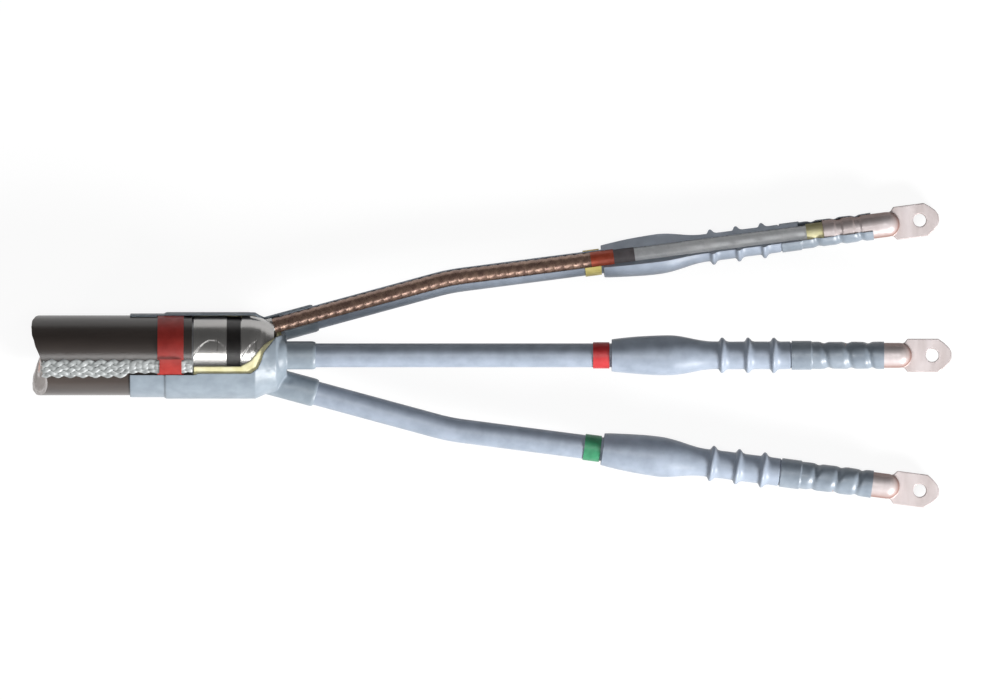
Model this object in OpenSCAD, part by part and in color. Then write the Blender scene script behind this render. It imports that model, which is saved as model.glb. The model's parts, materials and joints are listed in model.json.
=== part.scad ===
// Three-core cold-shrink cable termination, shown as a cutaway sample lying on a bench.
// X runs along the cable from its broken-off end to the lugs, Y is across the fan, Z is up.
// Phase a is cut open, phase b is the straight middle core, phase c mirrors phase a uncut.

/* [Cable stub] */
// Diameter over the outer sheath
sheath_d = 80; // [60:1:110]
// Wall of the outer sheath
sheath_wall = 3.6; // [2:0.1:6]
// Thickness of the steel tape armour
armour_wall = 1; // [0.5:0.1:2]
// Wall of the inner sheath under the armour
bedding_wall = 2.4; // [1:0.1:4]
// How far the S-shaped break swings to each side of its middle
break_depth = 8; // [2:0.5:14]
// Length of the stub up to the end of the outer sheath
sheath_len = 152.3; // [145:0.1:160]

/* [Cores] */
// Diameter of the copper conductor
conductor_d = 12.4; // [8:0.1:16]
// Wall of the solid insulation
insulation_wall = 3.45; // [2.5:0.05:4.5]
// Thickness of the outer semiconducting screen
semicon_wall = 0.45; // [0.3:0.05:1]
// Thickness of the copper tape screen
tape_wall = 0.7; // [0.5:0.05:1]
// Length of one turn of the copper tape
tape_pitch = 14; // [8:0.5:30]
// Depth of the step where one copper turn laps the next
tape_step = 0.2; // [0.1:0.05:0.4]

/* [Fan of the cores] */
// Distance from the end of the outer sheath to the corner where the outer cores leave the cable
bend_gap = 26.3; // [18:0.1:35]
// Angle of the outer cores out of the boot
spread_angle = 15.45; // [10:0.05:20]
// Radius of that bend
bend_r = 150; // [100:5:180]
// Distance from that corner to the one where the outer cores turn back
leg_run = 230.4; // [205:0.2:300]
// Angle of the outer lugs to the cable
tip_angle = 7.53; // [3:0.01:9]
// Radius of the turn back
turn_r = 200; // [120:5:300]
// Distance from the turn to the bolt holes of the outer lugs
tip_run = 471.3; // [450:0.1:550]
// How far the middle bolt hole lies ahead of the outer ones
middle_lead = 11.7; // [0:0.1:40]

/* [Earthing] */
// Width of each rolled spring
spring_w = 33; // [20:0.5:40]
// Thickness of a rolled spring
spring_wall = 1.2; // [0.6:0.1:2]
// Width of the black insulating band
band_w = 14; // [8:0.5:20]
// Length of the screen bond sleeve
sleeve_len = 33; // [28:0.5:40]
// Thickness of the earth braid
braid_t = 1.6; // [1:0.1:2]
// Lower edge of the braid in the boot, degrees from the top of the sheath
braid_low = -25; // [-27:0.5:-22]
// Lower edge of the braid ahead of the boot, degrees from the top of the sheath
braid_spread = -32.5; // [-40:0.5:-27]
// Upper edge of the braid, degrees from the top of the sheath
braid_high = -7; // [-12:0.5:-2]
// Number of plait ridges across the braid
braid_rows = 4; // [3:1:6]

/* [Breakout boot] */
// Outside diameter of the boot body
boot_d = 86.8; // [84:0.2:120]
// Wall of the boot
boot_wall = 2.2; // [1.5:0.1:4]
// How far the boot laps the outer sheath
boot_lap = 62.3; // [47:0.1:90]
// Length of the tight lip on the sheath
lip_len = 27; // [15:1:27]
// Wall of the tight lip
lip_wall = 1.9; // [1:0.1:3]
// How far the boot body runs past the insulating band
boot_past = 14.5; // [12:0.5:20]
// Width of the red sealing tape
red_w = 26; // [15:0.5:30]
// Thickness of the red sealing tape
red_wall = 1.1; // [0.6:0.1:1.1]
// Radius of the round root of each finger
root_r = 20.5; // [17:0.1:22]
// Distance from the end of the boot body to the finger roots
root_gap = 16.5; // [12:0.5:20]
// Distance from the finger roots to the finger ends
finger_len = 44; // [36:0.5:60]
// Wall of a finger
finger_wall = 2.1; // [1.5:0.1:3]

/* [Tubes and phase rings] */
// Wall of the insulating tubes
tube_wall = 1.1; // [0.8:0.1:2]
// Width of a phase ring
ring_w = 16.3; // [8:0.1:25]
// Wall of a phase ring
ring_wall = 1.2; // [0.8:0.1:2]

/* [Termination bodies] */
// Length from the start of the body to its bulb
body_rise = 56.5; // [40:0.5:70]
// Radius at the start of the body
body_r = 16.35; // [14.5:0.05:18]
// Length from the bulb to the neck
bulb_fall = 47; // [30:0.5:60]
// Radius of the bulb
bulb_r = 20; // [17:0.1:22]
// Length from the neck to the tip of the first shed
neck_len = 7.4; // [5:0.1:20]
// Radius behind the bulb
neck_r = 13.85; // [13.4:0.05:15]
// Length from the tip of the last shed to the end of the body
mouth_len = 36; // [30:0.5:50]
// Distance from shed to shed
shed_pitch = 25.8; // [24:0.1:27]
// Radius of a shed
shed_r = 17.85; // [16:0.05:22]
// Number of sheds
shed_count = 3; // [2:1:3]

/* [Lugs] */
// Bolt hole, clearance for a 12 mm bolt
hole_d = 13; // [9:0.5:14]
// Width of the palm
palm_w = 33; // [28:0.5:40]
// Thickness of the palm
palm_t = 7; // [5:0.5:9]
// Distance from the bolt hole to the palm tip
palm_tip = 19.3; // [17:0.1:24]
// Distance from the bolt hole to the back of the palm
palm_back = 24.5; // [20:0.1:30]
// Length of the lug barrel
barrel_len = 64.7; // [58:0.1:80]
// Radius of the lug barrel
barrel_r = 12.5; // [11.5:0.1:12.6]
// Depth of the crimps in the barrel
crimp_depth = 1.2; // [0.5:0.1:2]
// Wall of the sealing tube over the barrel
seal_wall = 1.05; // [0.8:0.05:2]

/* [Cutaway of phase a] */
// Lower edge of the cut, degrees from straight up
cut_low = -20; // [-40:1:-5]
// Upper edge of the cut, degrees from straight up
cut_high = 90; // [60:1:110]
// Lower edge of the boot window, below the cable axis
window_y = 19.6; // [19.4:0.1:24]
// Height of the far edge of the boot window over the cable axis
window_z = 12; // [0:0.5:20]
// Lower edge of the filler window, below the cable axis
filler_window_y = 10.8; // [6:0.1:16]

/* [Hidden] */
$fn = 72;

// Slip between layers that are shrunk or wound on one another
fit = 0.05;
// How far a cutter passes the face it cuts
over = 1;
// Half of the room between two cores in the cable
core_gap = 0.6;
// Hairline between the straight lengths and the bends of one core layer
seam = 0.02;
// How much wider the room for a bend is
bend_room = 0.3;

// Radii of the cable layers, from the outside in
sheath_r = sheath_d / 2;
armour_r = sheath_r - sheath_wall;
bedding_r = armour_r - armour_wall;
filler_r = bedding_r - bedding_wall;
// Radii of the core layers, from the inside out
conductor_r = conductor_d / 2;
insulation_r = conductor_r + insulation_wall;
semicon_r = insulation_r + semicon_wall;
tape_r = semicon_r + tape_wall;
tube_r = tape_r + fit + tube_wall;
finger_r = tube_r + fit + finger_wall;
ring_r = tube_r + fit + ring_wall;

// The three cores lie in a triangle, the middle one on top
trefoil_r = 2 * (tape_r + core_gap) / sqrt(3);
outer_y = tape_r + core_gap;
outer_z = -trefoil_r / 2;

// Stations along the cable
bend_x = sheath_len + bend_gap;
turn_x = bend_x + leg_run;
outer_hole_x = turn_x + tip_run;
middle_hole_x = outer_hole_x + middle_lead;
boot_x = sheath_len - boot_lap;
spring_x = sheath_len + braid_t + 2 * fit;
armour_len = spring_x + spring_w;
bedding_len = armour_len + band_w;
sleeve_end = bedding_len + sleeve_len;
screen_end = bedding_len + 0.4 * sleeve_len;
body_x = boot_x + lip_len;
body_end = bedding_len + boot_past;
// The outside of the lip runs on over the start of the wider bore
lip_over = 8;
step_x = body_x + lip_over;
root_x = body_end + root_gap;
finger_end = root_x + finger_len;
red_x = body_x + over;
tube_x = root_x + root_r / 2;
boot_r = boot_d / 2;
// Small slope at the step of the boot and shoulder between its body and finger roots
chamfer = 1;
shoulder_len = 9;
shoulder_drop = 4.1;
crown_r = 35;
crown_len = 12;
crown_tip_r = 20;
crown_tip_len = 10;
crown_end = body_end + shoulder_len + crown_len + crown_tip_len;
// The bond sleeve draws in behind its spring and ends in collars on the outer cores
collar_wall = 0.9;
sleeve_drop = 1.6;
sleeve_tip_len = 12;
sleeve_tip_r = 30;
collar_r = tape_r + fit + collar_wall;
braid_tail_r = armour_r + fit + braid_t;
spring_in = armour_r + fit;
spring_out = braid_tail_r + fit + spring_wall;
sleeve_r = spring_out - spring_wall - fit;

// Path of an outer core in its own plane
bend_t = bend_r * tan(spread_angle / 2);
turn_angle = spread_angle - tip_angle;
turn_t = turn_r * tan(turn_angle / 2);
turn_q = (turn_x - bend_x) * tan(spread_angle);
hole_q = turn_q + (outer_hole_x - turn_x) * tan(tip_angle);
leg_len = (turn_x - bend_x) / cos(spread_angle) - bend_t - turn_t;
tip_len = (outer_hole_x - turn_x) / cos(tip_angle) - turn_t;
// A place along the cable as a length along the straight leg of an outer core
function along_leg(x) = (x - bend_x) / cos(spread_angle) - bend_t;
// Where the outer fingers start inside the boot, along the straight leg
finger_hide = along_leg(body_end);
axis_z = boot_r;
x_mid = (middle_hole_x + palm_tip - break_depth) / 2;

// Stations back from the bolt hole, each from the one before it
palm_neck = 8.5;
seal_end_gap = 15.2;
crimp_gaps = [49, 30];
mastic_w = 16.7;
mastic_gap = 7.6;
ring_slack = 2.2;
body_lap = 11.5;
band_w_core = 23;
semicon_w = 21;
seal_lap = 20.5;
nose_u = palm_back + palm_neck;
barrel_u = nose_u + barrel_len;
seal_end_u = nose_u + seal_end_gap;
crimps = [for (gap = crimp_gaps) nose_u + gap];
mastic_u = barrel_u + mastic_w;
body_end_u = mastic_u + mastic_gap;
seal_u = body_end_u + seal_lap;
shed_u = body_end_u + mouth_len;
neck_u = shed_u + (shed_count - 1) * shed_pitch + neck_len;
bulb_u = neck_u + bulb_fall;
body_u = bulb_u + body_rise;
ring_u = body_u + ring_slack;
ring_back = ring_u + ring_w;
band_u = body_u - body_lap;
tape_end_u = band_u + band_w_core;
semicon_u = band_u - semicon_w;
crimp_half = 4.5;
crimp_slope = 2.5;
mastic_r = 11;
mouth_r = 12.9;
seal_step_r = 14.5;
shed_back = 3;
shed_front = 7.5;
curve_steps = 8;

// The plane of each outer core leans until the last shed rests level with the boot
shed_q = hole_q - shed_u * sin(tip_angle);
roll = asin((boot_r + outer_z - shed_r) / shed_q);

// Shared shapes

// A flat ring
module ring(r_out, r_in) {
    difference() {
        circle(r = r_out);
        circle(r = r_in);
    }
}

// A flat wedge between two angles measured from up toward +Y
module wedge(low, high, r) {
    steps = 6;
    polygon(concat([[0, 0]],
        [for (i = [0:steps]) let (t = low + (high - low) * i / steps) [r * sin(t), r * cos(t)]]));
}

// A flat part of a ring between two angles
module ring_part(r_out, r_in, low, high) {
    intersection() {
        ring(r_out, r_in);
        wedge(low, high, 2 * r_out);
    }
}

// A flat profile pulled along X
module along_x(x0, x1) {
    translate([x0, 0, 0])
        rotate([90, 0, 90])
            linear_extrude(x1 - x0)
                children();
}

// A profile of [radius, x] points turned around X
module turned(points) {
    rotate([0, 90, 0])
        rotate_extrude()
            polygon(points);
}

// A plain rod around X
module rod(x0, x1, r) {
    along_x(x0, x1) circle(r = r);
}

// A plain tube around X
module tube(x0, x1, r_out, r_in) {
    along_x(x0, x1) ring(r_out, r_in);
}

// Sets the cable axis at the height of the boot and the middle of the length at zero
module lay() {
    translate([-x_mid, 0, axis_z]) children();
}

// Everything beyond the S-shaped break at the cable end
module broken_off() {
    n = 6;
    half = sheath_r + 5;
    back = -break_depth * 4;
    step = 2 * half / n;
    swing = -2 * break_depth / (sheath_r * sheath_r);
    side = [for (i = [0:n]) -half + i * step];
    face = [for (y = side) for (z = side) [swing * y * z, y, z]];
    rear = [for (y = side) for (z = side) [back, y, z]];
    count = (n + 1) * (n + 1);
    rim = concat([for (i = [0:n - 1]) i], [for (i = [0:n - 1]) i * (n + 1) + n],
        [for (i = [0:n - 1]) count - 1 - i], [for (i = [0:n - 1]) (n - i) * (n + 1)]);
    cells = [for (i = [0:n - 1]) for (j = [0:n - 1]) i * (n + 1) + j];
    polyhedron(concat(face, rear), concat(
        [for (c = cells) [c, c + 1, c + n + 2]],
        [for (c = cells) [c, c + n + 2, c + n + 1]],
        [for (k = [0:len(rim) - 1]) let (p = rim[k], q = rim[(k + 1) % len(rim)])
            [q, p, p + count, q + count]],
        [for (c = cells) [c + count, c + count + n + 1, c + count + n + 2, c + count + 1]]));
}

// Cuts a cable layer at the break
module cable_layer() {
    lay()
        difference() {
            children();
            broken_off();
        }
}

// Where a layer starts before the break trims it
layer_start = -2 * break_depth;

// Plane of an outer core, leaned about its own start line
module outer_frame() {
    translate([0, outer_y, outer_z])
        rotate([-roll, 0, 0])
            children();
}

// Start frame of a core
module core_frame(phase) {
    if (phase == "a") outer_frame() children();
    if (phase == "b") translate([0, 0, trefoil_r]) children();
    if (phase == "c") mirror([0, 1, 0]) outer_frame() children();
}

// Frame on the bolt hole of a core, X pointing away from the cable
module tip_frame(phase) {
    core_frame(phase)
        if (phase == "b")
            translate([middle_hole_x, 0, 0])
                children();
        else
            translate([outer_hole_x, hole_q, 0])
                rotate([0, 0, tip_angle])
                    children();
}

// Frame at the start of the straight leg of an outer core
module leg_frame() {
    translate([bend_x + bend_t * cos(spread_angle), bend_t * sin(spread_angle), 0])
        rotate([0, 0, spread_angle])
            children();
}

// Ring or disc of a core layer, open where the cutaway asks for it
module core_profile(r_out, r_in, cut) {
    difference() {
        circle(r = r_out);
        if (r_in > 0) circle(r = r_in);
        if (cut) wedge(cut_low - roll, cut_high - roll, 3 * r_out);
    }
}

// A core layer pulled along its core, from the broken end or from inside the boot.
// Bends and straight lengths are drawn end to end; as room for a core they lap and the bends are wider.
module core_run(phase, u_end, r_out, r_in = 0, whole = true, cut = false, room = 0) {
    gap = room > 0 ? -over : seam;
    leg_start = whole ? gap : along_leg(tube_x);
    core_frame(phase)
        if (phase == "b")
            along_x(whole ? layer_start : tube_x, middle_hole_x - u_end)
                core_profile(r_out, r_in, cut);
        else {
            if (whole) {
                along_x(layer_start, bend_x - bend_t - gap)
                    core_profile(r_out, r_in, cut);
                translate([bend_x - bend_t, bend_r, 0])
                    rotate([0, 0, -90])
                        rotate_extrude(angle = spread_angle)
                            translate([bend_r, 0])
                                mirror([1, 0])
                                    core_profile(r_out + room, r_in, cut);
            }
            leg_frame()
                along_x(leg_start, leg_len - gap)
                    core_profile(r_out, r_in, cut);
            leg_frame()
                translate([leg_len, -turn_r, 0])
                    rotate([0, 0, 90 - turn_angle])
                        rotate_extrude(angle = turn_angle)
                            translate([turn_r, 0])
                                core_profile(r_out + room, r_in, cut);
            translate([turn_x + turn_t * cos(tip_angle), turn_q + turn_t * sin(tip_angle), 0])
                rotate([0, 0, tip_angle])
                    along_x(gap, tip_len - u_end)
                        core_profile(r_out, r_in, cut);
        }
}

// Takes the cutaway wedge out of a piece on the tip of phase a
module opened(phase) {
    difference() {
        children();
        if (phase == "a")
            along_x(-tip_len, palm_tip)
                wedge(cut_low - roll, cut_high - roll, 2 * bulb_r);
    }
}

// Cable stub

module cable_outer_sheath() {
    color([0.16, 0.14, 0.13])
        cable_layer()
            tube(layer_start, sheath_len, sheath_r, armour_r + fit);
}

module armour() {
    color([0.6, 0.6, 0.62])
        cable_layer()
            tube(layer_start, armour_len, armour_r, bedding_r + fit);
}

module inner_sheath() {
    color([0.2, 0.2, 0.2])
        cable_layer()
            tube(layer_start, bedding_len, bedding_r, filler_r + fit);
}

// Holes for the three cores through what lies between them
module core_holes(r) {
    for (phase = ["a", "b", "c"])
        core_run(phase, ring_back, r, room = bend_room);
}

module cable_filler() {
    color([0.78, 0.75, 0.68])
        cable_layer()
            difference() {
                rod(layer_start, bedding_len, filler_r);
                core_holes(tape_r + fit);
            }
}

// Flat section of the braid with its plait furrows, at a given inner radius
module braid_section(r, low) {
    row = (braid_high - low) / braid_rows;
    furrow = braid_t / 4;
    difference() {
        ring_part(r + braid_t, r, low, braid_high);
        for (i = [1:braid_rows - 1])
            ring_part(r + 2 * braid_t, r + braid_t - furrow, low + i * row - furrow, low + i * row + furrow);
    }
}

// The braid lies on the sheath, drops over its end and runs in under the armour spring
module earth_braid() {
    color([0.75, 0.75, 0.74])
        cable_layer() {
            along_x(layer_start, boot_x - fit) braid_section(sheath_r + fit, braid_spread);
            along_x(boot_x - braid_t, sheath_len + fit + braid_t) braid_section(sheath_r + fit, braid_low);
            along_x(sheath_len + fit, sheath_len + fit + braid_t)
                ring_part(sheath_r + fit + over / 2, armour_r + fit, braid_low, braid_high);
            along_x(sheath_len + fit, armour_len - 4 * braid_t)
                ring_part(braid_tail_r, armour_r + fit, braid_low, braid_high);
        }
}

// The red tape climbs over the braid
module sealing_tape() {
    hump = 1.5;
    slip = 0.2;
    braid_top = sheath_r + fit + braid_t + fit;
    color([0.78, 0.15, 0.13])
        lay()
            difference() {
                union() {
                    tube(red_x, red_x + red_w, sheath_r + fit + red_wall, sheath_r + fit);
                    along_x(red_x + 2 * over, red_x + red_w - 2 * over)
                        ring_part(braid_top + red_wall, sheath_r + fit, braid_low - hump, braid_high + hump);
                }
                along_x(red_x - over, red_x + red_w + over)
                    ring_part(braid_top, armour_r, braid_low - slip, braid_high + slip);
            }
}

// The spring is rolled tight on the armour and clamps the braid tail
module armour_spring() {
    slip = 0.2;
    color([0.72, 0.74, 0.76])
        lay()
            difference() {
                tube(spring_x, armour_len, spring_out, spring_in);
                along_x(spring_x - over, armour_len - 3 * braid_t)
                    ring_part(braid_tail_r + fit, bedding_r, braid_low - slip, braid_high + slip);
            }
}

module insulating_band() {
    color([0.07, 0.07, 0.08])
        lay()
            tube(armour_len + fit, bedding_len - fit, spring_out - red_wall / 2, bedding_r + fit);
}

// Outline of the bond sleeve with its collars on the outer cores, grown by a margin to make room for it
module sleeve_shape(margin) {
    turned([[0, bedding_len], [sleeve_r + margin, bedding_len],
        [sleeve_r + margin, screen_end], [sleeve_r - sleeve_drop + margin, sleeve_end - sleeve_tip_len],
        [sleeve_tip_r + margin, sleeve_end + margin], [0, sleeve_end + margin]]);
    for (phase = ["a", "c"])
        core_frame(phase)
            leg_frame()
                rod(along_leg(screen_end), along_leg(sleeve_end) + margin, collar_r + margin);
}

module bond_sleeve() {
    color([0.75, 0.77, 0.78])
        lay()
            difference() {
                sleeve_shape(0);
                core_holes(tape_r + fit);
            }
}

module screen_spring() {
    color([0.72, 0.74, 0.76])
        lay()
            tube(bedding_len + over, screen_end, spring_out, sleeve_r + fit);
}

// Breakout boot

// Body of the boot as a solid from a given start, drawn in by a wall
module boot_body(wall, start) {
    turned([[0, start], [boot_r - wall - chamfer, start], [boot_r - wall, start + chamfer], [boot_r - wall, body_end - wall / 2],
        [boot_r - shoulder_drop - wall, body_end + shoulder_len - wall / 2],
        [crown_r - wall, body_end + shoulder_len + crown_len - wall],
        [crown_tip_r - wall, crown_end - wall], [0, crown_end - wall]]);
    translate([root_x, 0, trefoil_r]) sphere(r = root_r - wall);
}

// One finger as a solid with a small chamfer at its end
module finger(x0, x1, r, slope) {
    turned([[0, x0], [r, x0], [r, x1 - 3 * slope], [r - slope, x1], [0, x1]]);
}

// The three fingers, or their bores when they run past the ends
module fingers(r, extra, slope) {
    leg_end = along_leg(finger_end);
    for (phase = ["a", "b", "c"])
        core_frame(phase)
            if (phase == "b")
                finger(root_x, finger_end + extra, r, slope);
            else
                leg_frame() finger(finger_hide, leg_end + extra, r, slope);
}

// How far out the axis of phase a lies at a place along the cable
function leg_y(x) = outer_y + (x - bend_x) * tan(spread_angle) * cos(roll);

// Part of the crown wall that is cut away around the finger of phase a
module finger_window() {
    core_frame("a")
        leg_frame()
            along_x(finger_hide, 2 * finger_end)
                wedge(cut_low - over - roll, cut_high - roll, root_r + 2 * boot_wall);
}

// Window seen from above, its lower edge rising over the crown to the finger of phase a
module window(edge, floor_z) {
    far = 2 * boot_r;
    translate([0, 0, floor_z])
        linear_extrude(far)
            polygon(concat(edge, [[edge[len(edge) - 1][0], far], [edge[0][0], far]]));
}

module boot_window() {
    high = 0.92 * window_y;
    window([[boot_x - over, -window_y], [spring_x + over, -window_y], [spring_x + 4 * over, -high],
        [body_end - 4.5, -high], [body_end + 2.5, -0.65 * window_y], [body_end + 6, -0.28 * window_y],
        [body_end + 8.5, 0.16 * window_y], [root_x + 4, outer_y + 0.35 * window_y],
        [finger_end + over, leg_y(finger_end) - finger_r * sin(over - cut_low)]], window_z);
    finger_window();
}

module breakout_boot() {
    color([0.6, 0.66, 0.7])
        lay()
            difference() {
                union() {
                    boot_body(0, step_x);
                    rod(boot_x, step_x + over, sheath_r + fit + lip_wall);
                    fingers(finger_r, 0, chamfer);
                }
                boot_body(boot_wall, body_x);
                rod(boot_x - over, body_x + over, sheath_r + fit);
                fingers(tube_r + fit, over, 0);
                boot_window();
            }
}

// The filler takes up the room left in the boot behind the springs and between the cores
module crotch_filler() {
    color([0.94, 0.9, 0.66])
        lay()
            difference() {
                boot_body(boot_wall + fit, body_x);
                rod(boot_x, screen_end + fit, spring_out + fit);
                rod(boot_x, spring_x, boot_r);
                sleeve_shape(fit);
                core_holes(tape_r + fit);
                core_tubes(tube_r + fit);
                window([[boot_x, -filler_window_y], [bedding_len, -filler_window_y],
                    [body_end - 4.5, -0.47 * filler_window_y], [body_end + 9, 1.04 * filler_window_y],
                    [root_x + 5, outer_y + 0.7 * filler_window_y]], outer_z);
                finger_window();
            }
}

// Room for the insulating tubes
module core_tubes(r) {
    for (phase = ["a", "b", "c"])
        core_run(phase, ring_back, r, whole = false, room = bend_room);
}

// Cores, the same for every phase apart from the cutaway of phase a

module conductor(phase) {
    color([0.72, 0.45, 0.3])
        cable_layer()
            core_run(phase, nose_u + 4, conductor_r);
}

module insulation(phase) {
    color([0.9, 0.9, 0.88])
        cable_layer()
            core_run(phase, mastic_u + fit, insulation_r, conductor_r + fit);
}

module semicon_screen(phase) {
    color([0.2, 0.19, 0.2])
        cable_layer()
            core_run(phase, semicon_u, semicon_r, insulation_r + fit);
}

// Saw-tooth room between the laps of the copper tape
module tape_laps(x0, x1) {
    n = floor((x1 - x0) / tape_pitch);
    turned(concat(
        [for (i = [0:n - 1]) for (k = [0, 1]) [tape_r + fit - k * tape_step, x0 + (i + k) * tape_pitch]],
        [[tape_r + over, x0 + n * tape_pitch], [tape_r + over, x0]]));
}

// The laps show on the open core only
module copper_tape(phase) {
    color([0.55, 0.36, 0.28])
        cable_layer()
            difference() {
                core_run(phase, tape_end_u + fit, tape_r, semicon_r + fit);
                if (phase == "a") {
                    core_frame(phase) leg_frame() tape_laps(finger_hide + root_r, leg_len);
                    tip_frame(phase) tape_laps(-tip_len, -tape_end_u);
                }
            }
}

module copper_band(phase) {
    color([0.8, 0.33, 0.2])
        lay()
            tip_frame(phase)
                tube(-tape_end_u, -band_u, tape_r, semicon_r + fit);
}

module insulating_tube(phase) {
    color([0.66, 0.72, 0.76])
        lay()
            core_run(phase, body_u + fit, tube_r, tape_r + fit, whole = false, cut = phase == "a");
}

module phase_ring(phase, colour) {
    color(colour)
        lay()
            tip_frame(phase)
                opened(phase)
                    tube(-ring_back, -ring_u, ring_r, tube_r + fit);
}

// Swells smoothly from one radius to another
function swell(r0, r1, t) = r0 + (r1 - r0) * (1 - cos(180 * t)) / 2;

// Outside of a termination body: bulb, neck and sheds, ending in the mouth for the sealing tube
function body_outline() = concat(
    [for (i = [0:curve_steps]) let (t = i / curve_steps)
        [body_r + (bulb_r - body_r) * sin(90 * t), -body_u + (body_u - bulb_u) * t]],
    [for (i = [1:curve_steps]) let (t = i / curve_steps)
        [swell(bulb_r, neck_r, t), -bulb_u + (bulb_u - neck_u) * t]],
    [for (i = [shed_count - 1:-1:0]) for (k = [0:3]) let (u = shed_u + i * shed_pitch)
        [[neck_r, shed_r, shed_r - 0.6, neck_r][k], -u + [-shed_back, -0.5, 0.7, shed_front][k]]],
    [[neck_r, -seal_u], [mouth_r, -seal_u + over], [mouth_r, -body_end_u]]);

module termination_body(phase) {
    color([0.6, 0.66, 0.7])
        lay()
            tip_frame(phase)
                opened(phase)
                    turned(concat(body_outline(), [[insulation_r + fit, -body_end_u],
                        [insulation_r + fit, -semicon_u], [semicon_r + fit, -semicon_u],
                        [semicon_r + fit, -band_u], [tape_r + fit, -band_u], [tape_r + fit, -body_u]]));
}

module sealing_mastic(phase) {
    color([0.88, 0.86, 0.55])
        lay()
            tip_frame(phase)
                tube(-mastic_u, -barrel_u - fit, mastic_r, conductor_r + fit);
}

// Profile along the crimped barrel, at a radius that dips at each crimp
function crimped(r) = [for (u = crimps) for (k = [0:3])
    [r - [0, 1, 1, 0][k] * crimp_depth, -u + [-crimp_half, -crimp_slope, crimp_slope, crimp_half][k]]];

module lug_sealing_tube(phase) {
    r_in = barrel_r + fit;
    r_out = r_in + seal_wall;
    waist = mastic_r + fit + seal_wall;
    color([0.6, 0.66, 0.7])
        lay()
            tip_frame(phase)
                opened(phase)
                    turned(concat(
                        [[seal_step_r, -seal_u + 2 * over], [seal_step_r, -body_end_u + over],
                            [waist, -mastic_u + over], [waist, -barrel_u - 3 * over]],
                        [[r_out, -barrel_u + over]], crimped(r_out), [[r_out, -seal_end_u]],
                        [for (i = [2 * len(crimps) * 2 - 1:-1:0]) crimped(r_in)[i]],
                        [[r_in, -barrel_u - fit], [mastic_r + fit, -barrel_u - fit],
                            [mastic_r + fit, -body_end_u + fit], [mouth_r + fit, -body_end_u + fit],
                            [mouth_r + fit, -seal_u + 2 * over]]));
}

module palm_outline() {
    half = palm_w / 2;
    neck = barrel_r - over;
    shoulder = -palm_back - 0.4 * palm_neck;
    corner = palm_tip - 0.8 * half;
    nib = 0.1 * half;
    upper = [[-nose_u, neck], [shoulder, neck + over], [-palm_back, half], [corner, half],
        [palm_tip - 4.4 * nib, 0.74 * half], [palm_tip - 1.5 * nib, 0.47 * half], [palm_tip, 0.18 * half]];
    polygon(concat(upper, [for (i = [len(upper) - 1:-1:0]) [upper[i][0], -upper[i][1]]]));
}

// The palm lies level although the outer cores lean
module lug(phase) {
    palm_z = 3.5 - barrel_r;
    color([0.75, 0.6, 0.52])
        lay()
            tip_frame(phase)
                rotate([phase == "b" ? 0 : roll, 0, 0])
                    difference() {
                        union() {
                            turned(concat([[0, -barrel_u], [barrel_r, -barrel_u]], crimped(barrel_r),
                                [for (i = [0:curve_steps - 1]) let (t = 90 * i / curve_steps)
                                    [barrel_r * cos(t), -nose_u + barrel_r * sin(t)]],
                                [[0, -nose_u + barrel_r * sin(90 - 90 / curve_steps)]]));
                            translate([0, 0, palm_z]) linear_extrude(palm_t) palm_outline();
                        }
                        rod(-barrel_u - over, -nose_u - 3, conductor_r + fit);
                        translate([0, 0, palm_z - over]) cylinder(d = hole_d, h = palm_t + 2 * over);
                    }
}

module conductor_a() conductor("a");
module insulation_a() insulation("a");
module semicon_screen_a() semicon_screen("a");
module copper_tape_a() copper_tape("a");
module copper_band_a() copper_band("a");
module insulating_tube_a() insulating_tube("a");
module phase_ring_a() phase_ring("a", [0.86, 0.8, 0.42]);
module termination_body_a() termination_body("a");
module sealing_mastic_a() sealing_mastic("a");
module lug_sealing_tube_a() lug_sealing_tube("a");
module lug_a() lug("a");

module conductor_b() conductor("b");
module insulation_b() insulation("b");
module semicon_screen_b() semicon_screen("b");
module copper_tape_b() copper_tape("b");
module copper_band_b() copper_band("b");
module insulating_tube_b() insulating_tube("b");
module phase_ring_b() phase_ring("b", [0.8, 0.18, 0.18]);
module termination_body_b() termination_body("b");
module sealing_mastic_b() sealing_mastic("b");
module lug_sealing_tube_b() lug_sealing_tube("b");
module lug_b() lug("b");

module conductor_c() conductor("c");
module insulation_c() insulation("c");
module semicon_screen_c() semicon_screen("c");
module copper_tape_c() copper_tape("c");
module copper_band_c() copper_band("c");
module insulating_tube_c() insulating_tube("c");
module phase_ring_c() phase_ring("c", [0.2, 0.5, 0.34]);
module termination_body_c() termination_body("c");
module sealing_mastic_c() sealing_mastic("c");
module lug_sealing_tube_c() lug_sealing_tube("c");
module lug_c() lug("c");

cable_outer_sheath();
armour();
inner_sheath();
cable_filler();
earth_braid();
sealing_tape();
armour_spring();
insulating_band();
screen_spring();
bond_sleeve();
crotch_filler();
breakout_boot();
conductor_a();
insulation_a();
semicon_screen_a();
copper_tape_a();
copper_band_a();
insulating_tube_a();
phase_ring_a();
termination_body_a();
sealing_mastic_a();
lug_sealing_tube_a();
lug_a();
conductor_b();
insulation_b();
semicon_screen_b();
copper_tape_b();
copper_band_b();
insulating_tube_b();
phase_ring_b();
termination_body_b();
sealing_mastic_b();
lug_sealing_tube_b();
lug_b();
conductor_c();
insulation_c();
semicon_screen_c();
copper_tape_c();
copper_band_c();
insulating_tube_c();
phase_ring_c();
termination_body_c();
sealing_mastic_c();
lug_sealing_tube_c();
lug_c();
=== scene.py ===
# %% [markdown]
# # A cutaway cable termination
# This lesson dresses a three-core cable termination that lies on a bench. The solids come from the
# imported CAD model, in metres, with X along the cable, Y across the fan and Z up. Each step below
# explains one finish or one piece, and then makes it.

# %% Load the CAD model
import json
import math

import bmesh
import bpy
from mathutils import Matrix, Vector

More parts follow.
